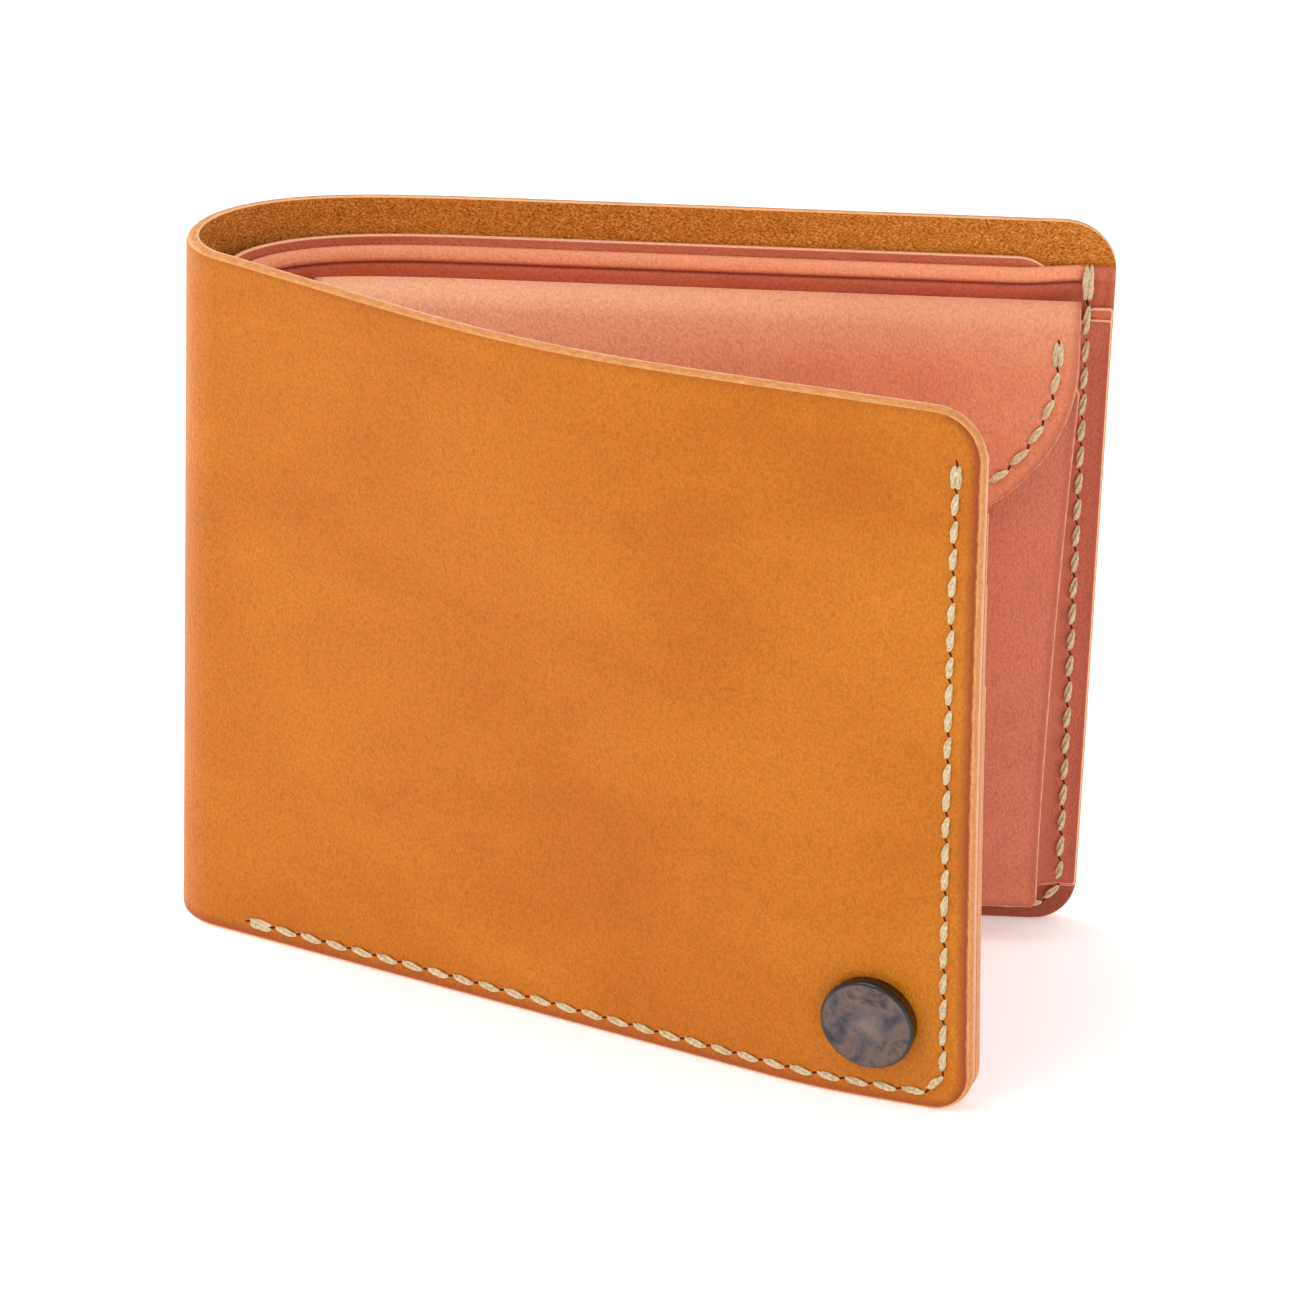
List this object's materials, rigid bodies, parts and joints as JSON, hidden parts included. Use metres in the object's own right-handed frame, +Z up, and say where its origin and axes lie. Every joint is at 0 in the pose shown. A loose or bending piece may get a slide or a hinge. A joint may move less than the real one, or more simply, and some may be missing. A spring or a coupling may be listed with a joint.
{
  "type": "bifold wallet",
  "caption": "Half-open leather bifold wallet with note compartment, card slots, flapped coin pocket and a decorative metal button.",
  "frame": {"origin": "middle of the footprint's bounding box, on the surface the wallet stands on", "axes": "+Z up along the spine, +X from the spine towards the free edges, +Y out of the back half's outside face"},
  "size_m": [0.107, 0.059, 0.09],
  "materials": {
    "cover_leather": "smooth vegetable-tanned grain, lightly waxed",
    "natural_leather": "undyed pink vegetable-tanned grain",
    "waxed_thread": "waxed linen",
    "oxidised_metal": "dark mottled oxide on polished metal",
    "snap_metal": "antique nickel"
  },
  "bodies": {
    "back_half": {"outer_cover_back": "cover_leather", "bill_divider_back": "natural_leather", "inner_panel_back": "natural_leather", "coin_back_panel": "natural_leather", "coin_gusset_left": "natural_leather", "coin_gusset_right": "natural_leather", "coin_gusset_base": "natural_leather", "back_stitching": "waxed_thread"},
    "spine": {"outer_cover_spine": "cover_leather", "bill_divider_spine": "natural_leather", "inner_panel_spine": "natural_leather"},
    "front_half": {"outer_cover_front": "cover_leather", "bill_divider_front": "natural_leather", "inner_panel_front": "natural_leather", "card_slot_rear": "natural_leather", "card_slot_middle": "natural_leather", "card_slot_front": "natural_leather", "front_stitching": "waxed_thread", "concho_cap": "oxidised_metal", "concho_post": "oxidised_metal", "concho_washer": "oxidised_metal"},
    "flap_fold": {"flap_leather_fold": "natural_leather", "flap_lining_fold": "natural_leather"},
    "coin_flap": {"flap_leather": "natural_leather", "flap_lining": "natural_leather", "flap_stitching": "waxed_thread", "snap_cap": "snap_metal", "snap_socket": "snap_metal"},
    "coin_pocket": {"coin_pocket_front": "natural_leather", "snap_stud": "snap_metal", "snap_post": "snap_metal"}
  },
  "joints": [
    {"name": "spine_back", "type": "hinge", "parent": "back_half", "child": "spine", "pos_m": [-0.04979, 0.02689, 0], "axis": [0, 0, -1], "range_deg": [0, 78]},
    {"name": "spine_front", "type": "hinge", "parent": "spine", "child": "front_half", "pos_m": [-0.05241, 0.01458, 0], "axis": [0, 0, -1], "range_deg": [-18, 78]},
    {"name": "flap_root", "type": "hinge", "parent": "back_half", "child": "flap_fold", "pos_m": [0.0057, 0.02437, 0.0828], "axis": [-1, 0, 0], "range_deg": [0, 85]},
    {"name": "flap_front", "type": "hinge", "parent": "flap_fold", "child": "coin_flap", "pos_m": [0.0057, 0.01642, 0.0828], "axis": [-1, 0, 0], "range_deg": [0, 85]},
    {"name": "pocket_tilt", "type": "hinge", "parent": "back_half", "child": "coin_pocket", "pos_m": [0.0057, 0.01912, 0.006], "axis": [1, 0, 0], "range_deg": [0, 12]}
  ],
  "couplings": [
    {"joint": "flap_root", "follows": "spine_back", "ratio": 1.0897},
    {"joint": "flap_front", "follows": "spine_back", "ratio": 1.0897},
    {"joint": "pocket_tilt", "follows": "spine_back", "ratio": 0.15385}
  ]
}
